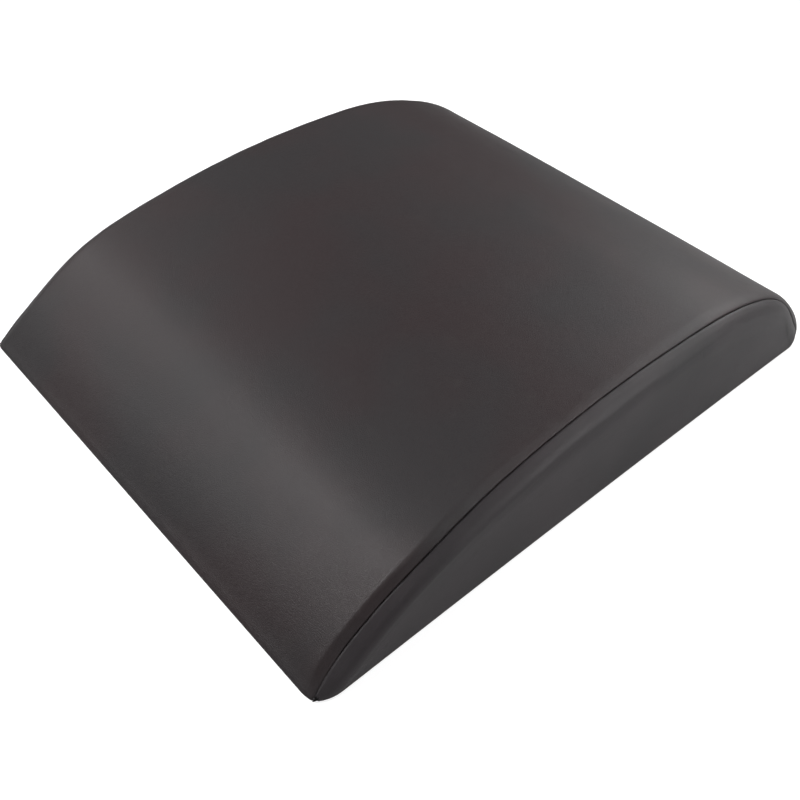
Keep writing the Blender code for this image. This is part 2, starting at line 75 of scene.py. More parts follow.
# shader writing: a Wire is a socket that can be used in sums, a Finish is a material being made
class Wire:
    def __init__(self, finish, socket):
        self.finish = finish
        self.socket = socket

    def sum(self, operation, first, second):
        return self.finish.node("ShaderNodeMath", {"operation": operation}, {0: first, 1: second})

    def __add__(self, other):
        return self.sum("ADD", self, other)

    def __radd__(self, other):
        return self.sum("ADD", other, self)

    def __sub__(self, other):
        return self.sum("SUBTRACT", self, other)

    def __rsub__(self, other):
        return self.sum("SUBTRACT", other, self)

    def __mul__(self, other):
        return self.sum("MULTIPLY", self, other)

    def __rmul__(self, other):
        return self.sum("MULTIPLY", other, self)


class Finish:
    def __init__(self, name):
        self.material = bpy.data.materials.new(name)
        self.material.use_nodes = True
        self.tree = self.material.node_tree
        self.shader = self.tree.nodes["Principled BSDF"]
        self.place = self.node("ShaderNodeTexCoord", {}, {}, "Object")

    def node(self, kind, settings, inputs, output=0):
        made = self.tree.nodes.new(kind)
        for key, value in settings.items():
            setattr(made, key, value)
        for key, value in inputs.items():
            self.feed(made.inputs[key], value)
        return Wire(self, made.outputs[output])

    def feed(self, socket, value):
        if isinstance(value, Wire):
            self.tree.links.new(value.socket, socket)
        else:
            socket.default_value = value

    def mix(self, factor, first, second):
        first, second = ((*tone, 1) if isinstance(tone, tuple) else tone for tone in (first, second))
        return self.node("ShaderNodeMix", {"data_type": "RGBA"}, {0: factor, 6: first, 7: second}, 2)

    def blend(self, first, second, share):
        return first * (1 - share) + second * share

    def turned(self, degrees=0, stretch=(1, 1, 1)):
        inputs = {"Vector": self.place, "Rotation": (0, 0, math.radians(degrees)), "Scale": stretch}
        return self.node("ShaderNodeMapping", {}, inputs)

    def cloud(self, scale, detail, place=None):
        inputs = {"Vector": place or self.place, "Scale": scale, "Detail": detail}
        return self.node("ShaderNodeTexNoise", {}, inputs, "Fac")

    def cells(self, scale, feature="F1"):
        inputs = {"Vector": self.place, "Scale": scale}
        return self.node("ShaderNodeTexVoronoi", {"feature": feature}, inputs, "Distance")

    def checker(self, scale):
        return self.node("ShaderNodeTexChecker", {}, {"Vector": self.place, "Scale": scale}, "Fac")

    def band(self, scale, place=None, direction="X", distortion=0.0):
        inputs = {"Vector": place or self.place, "Scale": scale, "Distortion": distortion, "Detail": 1.0}
        return self.node("ShaderNodeTexWave", {"bands_direction": direction}, inputs, "Fac")

    def ramp(self, value, low, high):
        return self.node("ShaderNodeMapRange", {"interpolation_type": "SMOOTHSTEP"},
                         {"Value": value, "From Min": low, "From Max": high})

    def bump(self, height, distance, under=None):
        inputs = {"Height": height, "Distance": distance}
        if under:
            inputs["Normal"] = under
        return self.node("ShaderNodeBump", {}, inputs, "Normal")

    def done(self, tint, rough, relief, metal=0.0):
        inputs = {"Base Color": tint, "Roughness": rough, "Normal": relief, "Metallic": metal}
        for key, value in inputs.items():
            self.feed(self.shader.inputs[key], value)
        return self.material


# in the looks a cloud is its scale and detail, and a range is where its ramp starts and ends
leatherLook = {
    # the side tone is partly the leather's own colour and partly painted light: it is set apart from the top
    # tone to match how bright the sides are under these lamps
    "top": (0.0275, 0.0190, 0.0202), "side": (0.0290, 0.0235, 0.0262), "cool": (0.0225, 0.0208, 0.0222),
    "worn": (0.036, 0.032, 0.030), "roughness": 0.42, "gloss": 0.3,
    "mottle": (14, 2), "mottleRange": (0.35, 0.68), "mottleShare": 0.8, "mottleRough": 0.05,
    "scuff": (95, 6), "scuffRange": (0.60, 0.80), "scuffShare": 0.35, "scuffRough": 0.06,
    "grain": 1300, "grainRange": (0.0, 0.18), "grainShare": 0.25, "grainShade": 0.5, "grainRough": 0.04,
    "grainDepth": 0.000035, "crease": (420, 4), "creaseDepth": 0.00005}


def leather(name, tone):
    look, own = Finish(name), leatherLook
    mottle = look.ramp(look.cloud(*own["mottle"]), *own["mottleRange"])
    scuff = look.ramp(look.cloud(*own["scuff"]), *own["scuffRange"])
    pores = look.ramp(look.cells(own["grain"], "DISTANCE_TO_EDGE"), *own["grainRange"])
    tint = look.mix(mottle * own["mottleShare"], tone, own["cool"])
    tint = look.mix(scuff * own["scuffShare"], tint, own["worn"])
    tint = look.mix((1 - pores) * own["grainShare"], tint, tuple(part * own["grainShade"] for part in tone))
    relief = look.bump(pores, own["grainDepth"])
    relief = look.bump(look.cloud(*own["crease"]), own["creaseDepth"], relief)
    rough = own["roughness"] + (mottle - 0.5) * own["mottleRough"] + scuff * own["scuffRough"]
    look.shader.inputs["Specular IOR Level"].default_value = own["gloss"]
    return look.done(tint, rough + (1 - pores) * own["grainRough"], relief)


gripLook = {"cloth": (0.020, 0.020, 0.022), "thread": (0.045, 0.045, 0.048), "weave": 520, "wander": 0.6,
            "checksPerBand": 3.2, "fuzz": (900, 5), "fuzzShare": 0.3, "fuzzRelief": 0.4, "depth": 0.00012,
            "roughness": 0.82, "fuzzRough": 0.14}


def gripCloth():
    look, own = Finish("gripCloth"), gripLook
    warp = look.band(own["weave"], direction="X", distortion=own["wander"])
    weft = look.band(own["weave"], direction="Y", distortion=own["wander"])
    check = look.checker(own["weave"] * own["checksPerBand"])
    weave = check * warp + (1 - check) * weft
    fuzz = look.cloud(*own["fuzz"])
    tint = look.mix(look.blend(weave, fuzz, own["fuzzShare"]), own["cloth"], own["thread"])
    relief = look.bump(weave + fuzz * own["fuzzRelief"], own["depth"])
    return look.done(tint, own["roughness"] + fuzz * own["fuzzRough"], relief)


rubberLook = {"clean": (0.016, 0.016, 0.017), "dusty": (0.040, 0.039, 0.038), "dust": (160, 5),
              "dustRange": (0.45, 0.75), "grain": (2600, 3), "depth": 0.00003, "roughness": 0.55,
              "dustRough": 0.2}


def gripRubber():
    look, own = Finish("gripRubber"), rubberLook
    dust = look.ramp(look.cloud(*own["dust"]), *own["dustRange"])
    relief = look.bump(look.cloud(*own["grain"]), own["depth"])
    rough = own["roughness"] + dust * own["dustRough"]
    return look.done(look.mix(dust, own["clean"], own["dusty"]), rough, relief)


foamLook = {"dark": (0.52, 0.51, 0.46), "light": (0.60, 0.59, 0.55), "pit": (0.30, 0.29, 0.26),
            "shade": (30, 4), "shadeRange": (0.3, 0.7), "pores": 900, "pitRange": (0.45, 0.1),
            "depth": 0.0003, "roughness": 0.90, "poreRough": 0.1}


def openFoam():
    look, own = Finish("foamBlock"), foamLook
    pores = look.cells(own["pores"])
    shade = look.ramp(look.cloud(*own["shade"]), *own["shadeRange"])
    tint = look.mix(shade, own["dark"], own["light"])
    tint = look.mix(look.ramp(pores, *own["pitRange"]), tint, own["pit"])
    return look.done(tint, own["roughness"] + pores * own["poreRough"], look.bump(pores, own["depth"]))


tapeLook = {"dark": (0.010, 0.010, 0.011), "light": (0.034, 0.034, 0.037), "rib": 620, "ribAngle": 38,
            "check": 700.0, "fuzz": (1500, 4), "fuzzShare": 0.2, "depth": 0.00006, "roughness": 0.78,
            "fuzzRough": 0.18}


def tapeCloth():
    look, own = Finish("zipTape"), tapeLook
    slope, counter = look.turned(own["ribAngle"]), look.turned(-own["ribAngle"])
    side = look.checker(own["check"])
    rib = side * look.band(own["rib"], slope) + (1 - side) * look.band(own["rib"], counter)
    fuzz = look.cloud(*own["fuzz"])
    tint = look.mix(look.blend(rib, fuzz, own["fuzzShare"]), own["dark"], own["light"])
    return look.done(tint, own["roughness"] + fuzz * own["fuzzRough"], look.bump(rib, own["depth"]))


coilLook = {"dark": (0.010, 0.010, 0.011), "light": (0.024, 0.024, 0.026), "haze": (700, 4),
            "depth": 0.00002, "roughness": 0.26, "hazeRough": 0.16}


def coilPlastic():
    look, own = Finish("zipCoil"), coilLook
    haze = look.cloud(*own["haze"])
    tint = look.mix(haze, own["dark"], own["light"])
    return look.done(tint, own["roughness"] + haze * own["hazeRough"], look.bump(haze, own["depth"]))


enamelLook = {"dark": (0.012, 0.012, 0.013), "light": (0.026, 0.026, 0.028), "bare": (0.42, 0.41, 0.40),
              "chip": (900, 6), "chipRange": (0.66, 0.72), "chipMetal": 0.9, "haze": (260, 4),
              "peel": (3500, 2), "depth": 0.000012, "roughness": 0.28, "hazeRough": 0.14}


def enamel():
    look, own = Finish("zipEnamel"), enamelLook
    chip = look.ramp(look.cloud(*own["chip"]), *own["chipRange"])
    haze = look.cloud(*own["haze"])
    tint = look.mix(haze, own["dark"], own["light"])
    tint = look.mix(chip, tint, own["bare"])
    relief = look.bump(look.cloud(*own["peel"]), own["depth"])
    rough = own["roughness"] + haze * own["hazeRough"]
    return look.done(tint, rough, relief, chip * own["chipMetal"])


steelLook = {"dark": (0.34, 0.34, 0.35), "light": (0.52, 0.52, 0.53), "lines": (260, 6),
             "stretch": (18, 1, 1), "haze": (500, 4), "depth": 0.00001, "roughness": 0.30,
             "lineRough": 0.2, "metal": 0.92, "hazeMetal": 0.08}


def steel():
    look, own = Finish("stopSteel"), steelLook
    lines = look.cloud(*own["lines"], look.turned(stretch=own["stretch"]))
    haze = look.cloud(*own["haze"])
    tint = look.mix(haze, own["dark"], own["light"])
    rough = own["roughness"] + lines * own["lineRough"]
    return look.done(tint, rough, look.bump(lines, own["depth"]), own["metal"] + haze * own["hazeMetal"])


threadLook = {"dark": (0.012, 0.012, 0.013), "light": (0.050, 0.049, 0.050), "ply": 1900, "plyAngle": 40,
              "fuzz": (2500, 3), "fuzzShare": 0.3, "depth": 0.00005, "roughness": 0.6, "fuzzRough": 0.25}


def sewingThread():
    look, own = Finish("sewingThread"), threadLook
    ply = look.band(own["ply"], look.turned(own["plyAngle"]))
    fuzz = look.cloud(*own["fuzz"])
    tint = look.mix(look.blend(ply, fuzz, own["fuzzShare"]), own["dark"], own["light"])
    return look.done(tint, own["roughness"] + fuzz * own["fuzzRough"], look.bump(ply, own["depth"]))


# the side panels get the top's leather with their own tone, which is partly the leather's colour and partly
# painted light fitted to the sides' brightness
leatherTop = leather("leatherTop", leatherLook["top"])
leatherSideToneAndPaintedLight = leather("leatherSideToneAndPaintedLight", leatherLook["side"])
gripWeave, gripDot, foamCells = gripCloth(), gripRubber(), openFoam()
tapeWeave, coilNylon, blackEnamel = tapeCloth(), coilPlastic(), enamel()
stopSteel, thread = steel(), sewingThread()
print("materials made")

# making and dressing of pieces
cadMesh = {"weld": 0.000002, "flatAngle": 1}


def dress(piece, body, slot, look, *stoodFor):
    piece.data.materials.clear()
    piece.data.materials.append(look)
    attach(piece, body)
    if stoodFor:
        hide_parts(*stoodFor)
    return piece


def pieceFrom(work, name, smooth=True):
    mesh = bpy.data.meshes.new(name)
    work.to_mesh(mesh)
    work.free()
    for face in mesh.polygons:
        face.use_smooth = smooth
    piece = bpy.data.objects.new(name, mesh)
    bpy.context.scene.collection.objects.link(piece)
    return piece


def patternMesh(work, name):
    # a mesh that is copied many times into a piece and then removed
    mesh = bpy.data.meshes.new(name)
    work.to_mesh(mesh)
    work.free()
    return mesh


def stamp(work, pattern, place):
    start = len(work.verts)
    work.from_mesh(pattern)
    work.verts.ensure_lookup_table()
    bmesh.ops.transform(work, matrix=place, verts=work.verts[start:])


def copied(node):
    # a CAD node's mesh with its loose triangles merged
    work = bmesh.new()
    work.from_mesh(nodes[node].data)
    bmesh.ops.remove_doubles(work, verts=work.verts, dist=cadMesh["weld"])
    bmesh.ops.dissolve_limit(work, angle_limit=math.radians(cadMesh["flatAngle"]), verts=work.verts,
                             edges=work.edges)
    return work


def thicken(piece, thickness):
    wall = piece.modifiers.new("thickness", "SOLIDIFY")
    wall.thickness = thickness
    wall.offset = -1.0
    return piece


def softenEdges(piece, width, segments=2, angle=35):
    edge = piece.modifiers.new("edges", "BEVEL")
    edge.width = width
    edge.segments = segments
    edge.limit_method = "ANGLE"
    edge.angle_limit = math.radians(angle)


def laid(name, points, outward):
    # a sheet: an operator's grid, one unit wide, whose rows and columns are laid on the points
    rows, columns = points.shape[:2]
    work = bmesh.new()
    bmesh.ops.create_grid(work, x_segments=columns - 1, y_segments=rows - 1, size=0.5)
    for vert in work.verts:
        column, row = round((vert.co.x + 0.5) * (columns - 1)), round((vert.co.y + 0.5) * (rows - 1))
        vert.co = points[row, column]
    work.normal_update()
    total = sum((face.normal * face.calc_area() for face in work.faces), Vector())
    if total.dot(Vector(outward)) < 0:
        bmesh.ops.reverse_faces(work, faces=work.faces)
    return pieceFrom(work, name)


def outwards(points, outward):
    # unit normals of a grid of points
    along, across = np.gradient(points, axis=0), np.gradient(points, axis=1)
    normal = np.cross(along, across)
    normal /= np.linalg.norm(normal, axis=2, keepdims=True) + tiny
    if (normal.reshape(-1, 3).mean(0) @ np.array(outward)) < 0:
        normal = -normal
    return normal


def raised(points, outward, height):
    # points moved out along their normals, with none left under the floor
    points = points + outwards(points, outward) * height[..., None]
    points[..., 2] = np.maximum(points[..., 2], 0.0)
    return points


def ripple(first, second, third=0.0):
    # smooth noise of places, about -1 to 1
    flat = np.broadcast_arrays(first, second, third)
    made = [noise.noise(Vector(place)) for place in zip(*(part.ravel() for part in flat))]
    return np.array(made).reshape(flat[0].shape)


def wrinkles(first, second, form, side=1):
    # ripple at a form's two scales and its seed
    firstScale, secondScale, seed = form
    return ripple(first * firstScale, second * secondScale, seed * side)


def puckers(first, second, panel, side=1):
    coarse = wrinkles(first, second, panel["puckerCoarse"], side)
    return coarse + panel["fineShare"] * wrinkles(first, second, panel["puckerFine"], side)


def ease(value, start, end):
    share = np.clip((np.asarray(value, float) - start) / (end - start), 0.0, 1.0)
    return share * share * (3 - 2 * share)


# the cover's form. The outline runs at mid-width from the tall end over the top to the thin end, as
# shares of the length and the height, with the angle in degrees at which the side seam lies there
coverForm = {
    "length": 0.380, "width": 0.300, "height": 0.0735, "leather": 0.0008, "seamGap": 0.00012,
    "rollThin": 0.0130, "rollTall": 0.0148, "rollToe": 0.0040, "toeShare": 0.06, "crownRise": 0.0008,
    "sideDraw": 0.0008, "middleShare": 0.74, "edgePower": 1.7, "edgeRadius": 0.0011, "footRoll": 0.0024,
    "footSteps": 7, "footLip": 0.0018, "lipShares": (0.5, 1.0), "samples": 2400,
    "outlineShares": [
        (1.000, 0.015, 62), (0.999, 0.127, 63), (0.989, 0.243, 64), (0.960, 0.415, 62), (0.920, 0.589, 38),
        (0.867, 0.751, 27), (0.814, 0.857, 27), (0.734, 0.961, 29), (0.615, 1.000, 28), (0.495, 0.981, 25),
        (0.363, 0.905, 24), (0.243, 0.788, 28), (0.150, 0.633, 34), (0.097, 0.465, 29), (0.044, 0.259, 26),
        (0.020, 0.141, 22), (0.005, 0.066, 25), (0.000, 0.035, 28), (0.000, 0.015, 28)]}
# the edge over the side seam towards the thin end: a crest, a crease and a strip to the sunken seam
crease = {"strip": 0.0048, "stripLeast": 1.02, "stripMost": 0.99, "round": 0.0020, "roundMost": 0.9,
          "roundLeast": 1e-6, "spare": 0.0036, "valley": 0.0016, "valleyHeight": (0.004, 0.022),
          "crest": 0.0014, "crestWidth": 0.012, "crestHeight": (0.002, 0.014), "fade": (0.15, 0.42),
          "farSide": 0.15}
zipForm = {
    "height": 0.011, "length": 0.205, "tilt": math.radians(19), "flat": 0.0035, "flatReach": 0.007,
    "slotHeight": 0.010, "slotReach": 0.002, "slotRamp": 0.003, "slotPlace": 0.02, "tapeDepth": 0.0015}
halfLength, halfWidth = coverForm["length"] / 2, coverForm["width"] / 2
leanOut, leanUp = math.cos(zipForm["tilt"]), math.sin(zipForm["tilt"])
flatX = halfLength - zipForm["flat"]

table = np.array([((share - 0.5) * coverForm["length"], high * coverForm["height"], math.radians(angle))
                  for share, high, angle in coverForm["outlineShares"]])
knots = np.concatenate([[0.0], np.cumsum(np.hypot(*np.diff(table[:, :2], axis=0).T))])
outlineLength = knots[-1]
peak = knots[np.argmax(table[:, 1])]


def splineBend():
    # second derivatives of the cubic spline through the outline's points
    count = len(knots)
    matrix, right = np.zeros((count, count)), np.zeros((count, 3))
    matrix[0, 0] = matrix[-1, -1] = 1.0
    for knot in range(1, count - 1):
        before, after = knots[knot] - knots[knot - 1], knots[knot + 1] - knots[knot]
        matrix[knot, knot - 1:knot + 2] = before, 2 * (before + after), after
        change = (table[knot + 1] - table[knot]) / after - (table[knot] - table[knot - 1]) / before
        right[knot] = 6 * change
    return np.linalg.solve(matrix, right)


bend = splineBend()


def outlineAt(place):
    # x, z, seam angle and inward normal at distances along the outline from the tall end
    place = np.asarray(place, float)
    knot = np.clip(np.searchsorted(knots, place, side="right") - 1, 0, len(knots) - 2)
    gap = (knots[knot + 1] - knots[knot])[..., None]
    after = (place - knots[knot])[..., None] / gap
    before = 1 - after
    curve = (before ** 3 - before) * bend[knot] + (after ** 3 - after) * bend[knot + 1]
    point = before * table[knot] + after * table[knot + 1] + curve * gap ** 2 / 6
    turning = (3 * after * after - 1) * bend[knot + 1] - (3 * before * before - 1) * bend[knot]
    slope = (table[knot + 1] - table[knot]) / gap + turning * gap / 6
    size = np.hypot(slope[..., 0], slope[..., 1])
    return point[..., 0], point[..., 1], point[..., 2], -slope[..., 1] / size, slope[..., 0] / size


def rollAt(x):
    share = x / coverForm["length"] + 0.5
    roll = coverForm["rollThin"] + (coverForm["rollTall"] - coverForm["rollThin"]) * share
    return roll - coverForm["rollToe"] * (1 - ease(share, 0.0, coverForm["toeShare"]))


def settled(x, y, z):
    # the sides pull in between the corners, and the tall end's wall lies flat round the zip
    pull = np.clip(1 - (x / (halfLength - coverForm["rollTall"])) ** 2, 0, None)
    y = y * (1 - coverForm["sideDraw"] / halfWidth * pull)
    hold = 1 - ease(abs(y), zipForm["length"] / 2 + zipForm["flatReach"], halfWidth - coverForm["rollTall"])
    plane = flatX - (z - zipForm["height"]) * leanUp / leanOut
    return np.stack([x + (np.minimum(x, plane) - x) * hold, y, z], axis=-1)


def skinAt(place, across, seamSide=-1):
    # across runs from -1 to 1 between the side seams: level in the middle, rolled over at the edges
    x, z, seam, inX, inZ = outlineAt(place)
    roll, spare, middle = rollAt(x), crease["spare"], coverForm["middleShare"]
    seam = seam + seamSide * coverForm["seamGap"] / 2 / roll
    share = np.clip((abs(across) - middle) / (1 - middle), 0, 1)
    along = 1 - (1 - share) ** coverForm["edgePower"]
    side = np.sign(across)
    level = np.clip(abs(across) / middle, 0, 1)
    levelHalf = halfWidth - roll - spare
    crown = coverForm["crownRise"] * inZ ** 2
    # towards the thin end the round edge turns into a crease and a flat strip down to a sunken seam
    inner = roll - crease["valley"] * ease(z, *crease["valleyHeight"])
    endOut, endDown = spare + inner * np.sin(seam), roll - inner * np.cos(seam)
    longest = np.hypot(endOut, endDown) * crease["stripMost"]
    strip = np.minimum(np.maximum(crease["strip"], endDown * crease["stripLeast"]), longest)
    tilt = np.arcsin(endDown / strip)
    flat = np.maximum(endOut - strip * np.cos(tilt), 0)
    turn = np.minimum(crease["round"], np.minimum(flat, strip) * crease["roundMost"]) + crease["roundLeast"]
    run = along * (flat + strip)
    bent = np.clip((run - flat + turn) / (2 * turn), 0, 1)
    past = np.maximum(run - flat - turn, 0)
    creaseOut = np.minimum(run, flat - turn) + turn * (2 * bent - bent ** 2 * (1 - np.cos(tilt)))
    creaseOut = creaseOut + past * np.cos(tilt)
    creaseDown = turn * bent ** 2 * np.sin(tilt) + past * np.sin(tilt)
    amount = 1 - ease(x / coverForm["length"] + 0.5, *crease["fade"])
    amount = amount * np.where(side > 0, crease["farSide"], 1.0)
    # the crest rises towards the crease and is gone at the strip's end
    fromCrease = np.where(share > 0, run, (level - 1) * levelHalf) - flat
    crest = crease["crest"] * np.exp(np.minimum(fromCrease, 0) / crease["crestWidth"])
    crest = crest * (1 - ease(fromCrease / strip, 0, 1))
    # the round edge, mixed with the crease by its amount
    roundRun = along * (spare + seam * roll)
    angle = np.maximum(roundRun - spare, 0) / roll
    outward = (np.minimum(roundRun, spare) + roll * np.sin(angle)) * (1 - amount) + creaseOut * amount
    down = roll * (1 - np.cos(angle)) * (1 - amount) + creaseDown * amount
    angle = angle * (1 - amount) + tilt * bent * amount
    depth = crown * level ** 2 + down - crest * amount * ease(z, *crease["crestHeight"])
    y = side * (levelHalf * level + outward)
    out = np.stack([-inX * np.cos(angle), side * np.sin(angle), 0 * x], axis=-1)
    out /= np.linalg.norm(out, axis=-1, keepdims=True) + tiny
    return settled(x + inX * depth, y, z + inZ * depth), out, (1 - along) * (spare + seam * roll)


def crossing(across, height, low, high, halvings=36):
    # where each column of the skin passes its height
    low, high = low + 0 * across, high + 0 * across
    start = skinAt(low, across)[0][..., 2] - height
    for _ in range(halvings):
        middle = (low + high) / 2
        same = (skinAt(middle, across)[0][..., 2] - height) * start > 0
        low, high = np.where(same, middle, low), np.where(same, high, middle)
    return (low + high) / 2


def withFoot(points, out, gap):
    # adds the rows under a row at the foot's height: rounded under, then flat on the floor
    roll = coverForm["footRoll"]
    points[-1, :, 2] = roll
    rows = []
    for turn in np.linspace(0, math.pi / 2, coverForm["footSteps"] + 1)[1:]:
        row = points[-1] - out[-1] * roll * (1 - math.cos(turn))
        row[:, 2] = roll * (1 - math.sin(turn))
        rows.append(row)
    under = rows[-1]
    for share in coverForm["lipShares"]:
        rows.append(under - out[-1] * coverForm["footLip"] * share)
    gap = np.concatenate([gap, np.broadcast_to(gap[-1], (len(rows), gap.shape[1]))])
    return np.concatenate([points, np.array(rows)]), gap


def panelRows(place, across):
    # a panel from its edge at the zip down to its foot, with each point's way from the seam and the edge
    points, out, fromSeam = skinAt(place, np.broadcast_to(across, place.shape))
    points, fromSeam = withFoot(points, out, fromSeam)
    steps = np.linalg.norm(np.diff(points, axis=0), axis=2)
    return points, fromSeam, np.concatenate([np.zeros((1, len(across))), np.cumsum(steps, axis=0)])


def groove(distance):
    # how far a turned edge sinks at a distance from the seam
    radius = coverForm["edgeRadius"]
    inside = np.clip(radius - distance, 0, radius)
    return radius - np.sqrt(radius ** 2 - inside ** 2)


def leatherSheet(name, points, outward, slot, look, node):
    return dress(thicken(laid(name, points, outward), coverForm["leather"]), "mat", slot, look, node)


def slotEdge(across, sign):
    # height of the leather's edge beside the zip: past its ends the two panels meet
    y = abs(skinAt(np.full_like(across, zipForm["slotPlace"]), across)[0][..., 1])
    half = zipForm["length"] / 2 + zipForm["slotReach"]
    openness = 1 - ease(y, half, half + zipForm["slotRamp"])
    least = coverForm["seamGap"] / 2
    return zipForm["height"] + sign * (least + (zipForm["slotHeight"] / 2 * leanOut - least) * openness)


# top panel, with creases along the tall end's shoulder: distance from the zip, width, depth and seed
topPanel = {
    "columns": 133, "rows": 196, "edgeShares": (0, 0.0004, 0.0010, 0.0018, 0.0030), "restShare": 0.0050,
    "pucker": 0.00016, "puckerCoarse": (75, 75, 3), "puckerFine": (170, 170, 7), "fineShare": 0.5,
    "puckerFade": 0.009, "puckerHeight": (0.002, 0.012), "slack": 0.00022, "slackForm": (16, 16, 4.0),
    "slackHeight": (0.004, 0.03)}
shoulder = {
    "creases": [(0.037, 0.0018, 0.00026, 0.4), (0.0425, 0.0015, 0.00020, 2.3), (0.049, 0.0021, 0.00026, 4.1),
                (0.057, 0.0018, 0.00018, 6.6)],
    "wander": 0.0035, "wanderScale": 9, "breakScale": 14, "breakSeed": 30, "breakLevel": 0.45,
    "breakReach": 1.1, "ends": (0.09, 0.13), "dipShare": 0.8, "dipPlace": 1.6}


def shoulderCrease(fromEdge, y, distance, width, depth, seed):
    # a raised line with a dip above it, which wanders and breaks off
    middle = distance + shoulder["wander"] * ripple(y * shoulder["wanderScale"], seed)
    breaks = ripple(y * shoulder["breakScale"], seed + shoulder["breakSeed"])
    fade = np.clip(shoulder["breakLevel"] + shoulder["breakReach"] * breaks, 0, 1)
    fade = fade * (1 - ease(abs(y), *shoulder["ends"]))
    off = (fromEdge - middle) / width
    dip = shoulder["dipShare"] * np.exp(-(off - shoulder["dipPlace"]) ** 2)
    return depth * fade * (np.exp(-off ** 2) - dip)


def makeTop():
    own, across = topPanel, np.linspace(-1, 1, topPanel["columns"])
    start = crossing(across, slotEdge(across, 1), 0.0, peak)
    end = crossing(across, coverForm["footRoll"], peak, outlineLength)
    shares = np.concatenate([own["edgeShares"], np.linspace(own["restShare"], 1, own["rows"])])
    points, fromSeam, fromEdge = panelRows(start + (end - start) * shares[:, None], across)
    x, y, z = np.moveaxis(points, 2, 0)
    # the sewn edge draws the leather into short puckers, and the tight sheet has a faint slack in it
    extra = own["pucker"] * puckers(x, z, own, np.sign(y)) * np.exp(-fromSeam / own["puckerFade"])
    extra = extra * ease(z, *own["puckerHeight"])
    extra = extra + own["slack"] * wrinkles(x, y, own["slackForm"]) * ease(z, *own["slackHeight"])
    for line in shoulder["creases"]:
        extra = extra + shoulderCrease(fromEdge, y, *line)
    points = raised(points, (0, 0, 1), extra - np.maximum(groove(fromSeam), groove(fromEdge)))
    leatherSheet("topPanel", points, (0, 0, 1), "leather_top", leatherTop, "cover_top_panel")


makeTop()
print("top panel laid")

# rear strip under the zip
rearStrip = {"rows": 12, "edgeShares": (0, 0.03, 0.08, 0.15), "restShare": 0.24, "slack": 0.00008,
             "slackForm": (60, 60, 0.0), "slackHeight": (0.002, 0.006)}


def makeStrip():
    own, across = rearStrip, np.linspace(-1, 1, topPanel["columns"])
    footRoll = coverForm["footRoll"]
    high = crossing(across, slotEdge(across, -1), 0.0, peak)
    lowest = skinAt(np.zeros_like(across), across)[0][..., 2]
    low = np.where(lowest < footRoll, crossing(across, footRoll, 0.0, peak), 0.0)
    shares = np.concatenate([own["edgeShares"], np.linspace(own["restShare"], 1, own["rows"])])
    points, fromSeam, fromEdge = panelRows(high + (low - high) * shares[:, None], across)
    slack = own["slack"] * wrinkles(points[..., 1], points[..., 2], own["slackForm"])
    slack = slack * ease(points[..., 2], *own["slackHeight"])
    points = raised(points, (1, 0, 0), slack - np.maximum(groove(fromSeam), groove(fromEdge)))
    leatherSheet("rearStrip", points, (1, 0, 0), "leather_top", leatherTop, "cover_rear_strip")


makeStrip()
print("rear strip laid")

# side panels, each laid over its own side view. The drops are its first rows' distances from the seam
sidePanel = {
    "columns": 168, "restRows": 20, "tip": 0.0012, "halvings": 40, "steepest": 2.5, "leastStep": 1e-6,
    "leastSine": 0.3, "drawWidth": 0.0045, "tallLean": 0.035, "thinLean": 0.02,
    "drops": (0, 0.00012, 0.00030, 0.00055, 0.00090, 0.0014, 0.0022, 0.0032, 0.0045, 0.0058, 0.0068, 0.0078,
              0.0090),
    "dropPower": 1.5, "dropShare": 0.55, "band": 0.00034, "bandWidth": 0.0070, "bandFade": 0.0022,
    "bandWander": 0.0012, "bandForm": (22, 5, 1.5), "dip": 0.0006, "dipWidth": 0.0034, "pucker": 0.00015,
    "puckerCoarse": (85, 40, 9.0), "puckerFine": (200, 60, 5.0), "fineShare": 0.5, "puckerFade": 0.010,
    "belly": 0.0006, "bellyForm": (11, 20, 2.0), "bellyGap": (0.006, 0.02), "bellyHeight": (0.003, 0.014),
    "stillShares": (0.6, 2.5)}
denseX, denseZ, _, denseInX, denseInZ = outlineAt(np.linspace(0, outlineLength, coverForm["samples"]))


def seamLine(place, side):
    # the side panel's sewn edge
    place = np.asarray(place, float)
    points, out, _ = skinAt(place, np.full_like(place, side), 1)
    return np.moveaxis(points, -1, 0), out


def nearest(x, z, listX, listZ):
    found = np.zeros(x.shape, int)
    for row in range(x.shape[0]):
        found[row] = np.argmin((listX[:, None] - x[row]) ** 2 + (listZ[:, None] - z[row]) ** 2, axis=0)
    return found


def sideAt(x, z, seamX, seamZ):
    # the side's round edge at places of its side view, with their way from the seam
    beside = nearest(x, z, denseX, denseZ)
    roll, inX, inZ = rollAt(denseX[beside]), denseInX[beside], denseInZ[beside]
    depth = (x - denseX[beside]) * inX + (z - denseZ[beside]) * inZ - coverForm["crownRise"] * inZ ** 2
    angle = np.arccos(np.clip(1 - np.clip(depth, 0, None) / roll, 0, 1))
    near = nearest(x, z, seamX, seamZ)
    gap = np.hypot(x - seamX[near], z - seamZ[near]) / np.clip(np.sin(angle), sidePanel["leastSine"], 1)
    out = np.stack([-inX * np.cos(angle), np.sin(angle), 0 * x], axis=-1)
    out /= np.linalg.norm(out, axis=-1, keepdims=True)
    return settled(x, halfWidth - roll + roll * np.sin(angle), z), out, gap


def thinEnd(side):
    # where the seam comes down to just above the foot at the thin end
    low, high = peak, outlineLength
    for _ in range(sidePanel["halvings"]):
        middle = (low + high) / 2
        higher = seamLine([middle], side)[0][2][0] > coverForm["footRoll"] + sidePanel["tip"]
        low, high = (middle, high) if higher else (low, middle)
    return low


